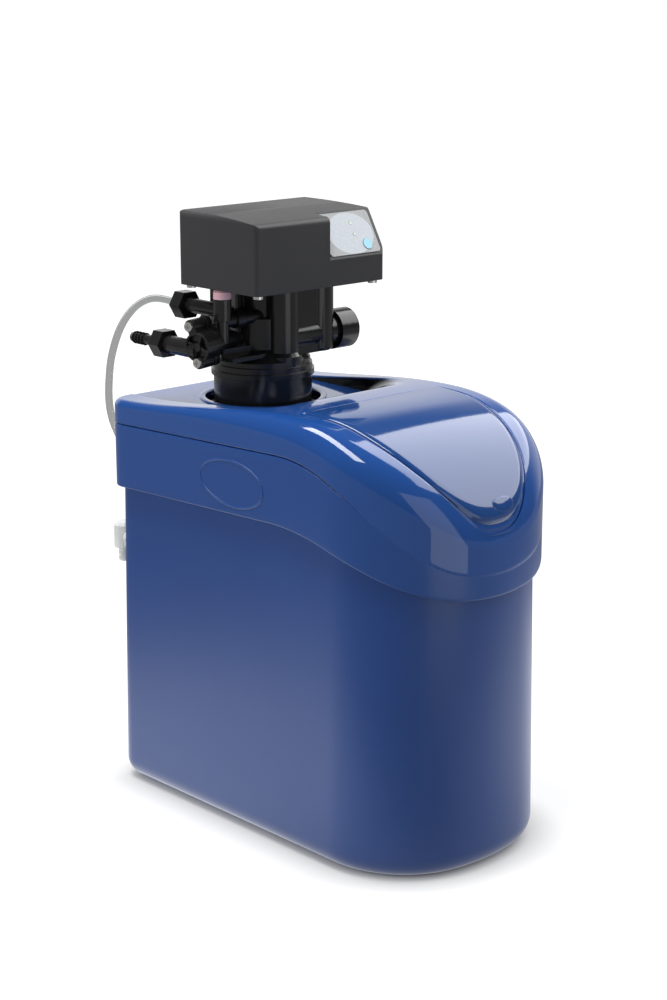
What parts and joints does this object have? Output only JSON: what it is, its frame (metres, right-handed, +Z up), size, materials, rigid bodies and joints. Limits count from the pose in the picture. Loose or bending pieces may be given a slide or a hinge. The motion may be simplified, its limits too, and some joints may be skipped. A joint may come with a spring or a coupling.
{
  "type": "water softener",
  "caption": "Cabinet water softener: blue salt tank with band, moulded cover and hinged salt lid, pressure vessel, piston valve, drain and brine branches, control box with start button.",
  "frame": {"origin": "centre of the tank's underside, midway between the flat rear and the nose and between the two sides", "axes": "+Z up, -Y out of the rounded nose (front), +Y out of the flat rear, -X the side that the picture shows"},
  "size_m": [0.2496, 0.488, 0.6035],
  "materials": {
    "tank_plastic": "satin moulded",
    "cover_plastic": "high gloss moulded",
    "valve_plastic": "glossy glass-filled",
    "box_plastic": "fine grain",
    "white_plastic": "natural, slightly translucent",
    "clear_tube": "clear, drawn",
    "vessel_composite": "wound fibre",
    "seal_rubber": "moulded",
    "stainless": "bright",
    "pink_plastic": "moulded",
    "panel_film": "satin film",
    "button_plastic": "moulded",
    "lens_plastic": "clear",
    "board_laminate": "solder mask"
  },
  "bodies": {
    "cabinet": {"cabinet_tank": "tank_plastic", "rim_band": "tank_plastic", "top_cover": "cover_plastic", "lid_hinge_pins": "stainless", "brine_well": "white_plastic", "brine_well_cap": "valve_plastic", "brine_riser": "white_plastic", "air_check": "valve_plastic", "overflow_elbow": "white_plastic", "overflow_gasket": "seal_rubber", "overflow_nut": "white_plastic", "tube_grommet": "seal_rubber", "brine_tube": "clear_tube", "pressure_vessel": "vessel_composite", "vessel_foot": "seal_rubber", "vessel_neck": "valve_plastic", "neck_o_ring": "seal_rubber", "riser_tube": "white_plastic", "riser_o_ring": "seal_rubber", "top_strainer": "white_plastic", "bottom_strainer": "white_plastic", "valve_body": "valve_plastic", "column_caps": "valve_plastic", "turbine_cap": "valve_plastic", "turbine_cap_seal": "seal_rubber", "turbine_axle": "stainless", "injector_nozzle": "white_plastic", "injector_plug": "pink_plastic", "brine_nut": "valve_plastic", "brine_ferrule": "white_plastic", "drain_elbow": "valve_plastic", "drain_gasket": "seal_rubber", "drain_screws": "stainless", "drain_nut": "valve_plastic", "drain_barb": "valve_plastic", "box_base": "box_plastic", "box_cover": "box_plastic", "box_screws": "stainless", "control_panel": "panel_film", "led_lenses": "lens_plastic", "circuit_board": "board_laminate", "gear_motor": "stainless", "pilot_distributor": "valve_plastic", "power_socket": "valve_plastic"},
    "lid": {"salt_lid": "cover_plastic"},
    "button": {"start_button": "button_plastic"},
    "distributor": {"distributor_gear": "white_plastic"},
    "pinion": {"motor_pinion": "white_plastic"},
    "front_piston": {"front_piston": "white_plastic", "front_piston_seals": "seal_rubber"},
    "side_piston": {"side_piston": "white_plastic", "side_piston_seals": "seal_rubber"},
    "rear_piston": {"rear_piston": "white_plastic", "rear_piston_seals": "seal_rubber"},
    "turbine": {"turbine_wheel": "white_plastic"},
    "float": {"float_rod": "stainless", "brine_float": "white_plastic"}
  },
  "joints": [
    {"name": "lid_hinge", "type": "hinge", "parent": "cabinet", "child": "lid", "pos_m": [0, -0.05, 0.4268], "axis": [-1, 0, 0], "range_deg": [0, 95]},
    {"name": "button_press", "type": "slide", "parent": "cabinet", "child": "button", "axis": [0, 0.8678, -0.497], "range_m": [0, 0.0015], "stiffness_N_per_m": 400},
    {"name": "distributor_turn", "type": "hinge", "parent": "cabinet", "child": "distributor", "pos_m": [-0.004, 0.095, 0.5475], "axis": [0, 0, 1], "continuous": true},
    {"name": "pinion_turn", "type": "hinge", "parent": "cabinet", "child": "pinion", "pos_m": [-0.03, 0.095, 0.5475], "axis": [0, 0, 1], "continuous": true},
    {"name": "front_piston_lift", "type": "slide", "parent": "cabinet", "child": "front_piston", "axis": [0, 0, 1], "range_m": [0, 0.008]},
    {"name": "side_piston_lift", "type": "slide", "parent": "cabinet", "child": "side_piston", "axis": [0, 0, 1], "range_m": [0, 0.008]},
    {"name": "rear_piston_lift", "type": "slide", "parent": "cabinet", "child": "rear_piston", "axis": [0, 0, 1], "range_m": [0, 0.008]},
    {"name": "turbine_spin", "type": "hinge", "parent": "cabinet", "child": "turbine", "pos_m": [0.0665, 0.084, 0.474], "axis": [1, 0, 0], "continuous": true},
    {"name": "float_lift", "type": "slide", "parent": "cabinet", "child": "float", "axis": [0, 0, 1], "range_m": [0, 0.012]}
  ],
  "couplings": [
    {"joint": "pinion_turn", "follows": "distributor_turn", "ratio": -3.3333}
  ]
}
